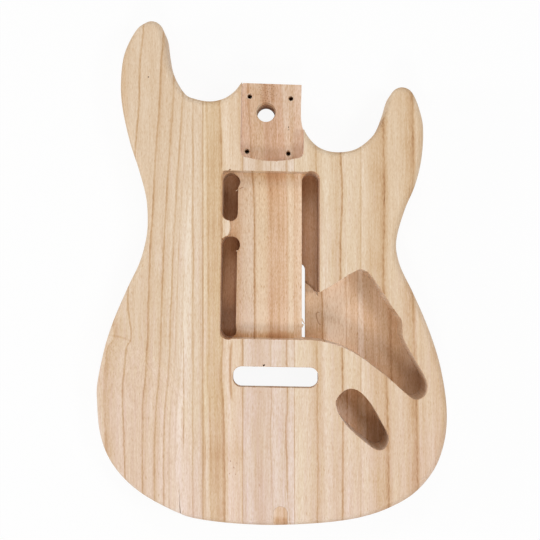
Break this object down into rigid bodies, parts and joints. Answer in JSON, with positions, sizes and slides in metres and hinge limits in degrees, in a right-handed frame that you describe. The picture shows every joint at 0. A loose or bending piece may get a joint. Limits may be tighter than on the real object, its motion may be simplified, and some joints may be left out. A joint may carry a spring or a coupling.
{
  "type": "electric guitar body",
  "caption": "Bare wooden solid electric guitar body with two cutaways, routed for pickups, controls, output jack, tremolo and a bolt-on neck.",
  "frame": {"origin": "middle of the outline's box, on the plane of the flat back", "axes": "+Z out of the front face, +Y towards the neck, +X towards the treble side (the shorter horn)"},
  "size_m": [0.32, 0.458, 0.045],
  "materials": {
    "wood_bass_wing": "sanded bare",
    "wood_bass_inner": "sanded bare",
    "wood_centre": "sanded bare",
    "wood_treble_inner": "sanded bare",
    "wood_treble_wing": "sanded bare",
    "wood_patch": "sanded bare"
  },
  "bodies": {
    "root": {"stave_bass_wing": "wood_bass_wing", "stave_bass_inner": "wood_bass_inner", "stave_centre_neck": "wood_centre", "stave_centre_tail": "wood_centre", "stave_treble_inner": "wood_treble_inner", "stave_treble_wing": "wood_treble_wing", "tail_patch": "wood_patch"}
  },
  "joints": []
}
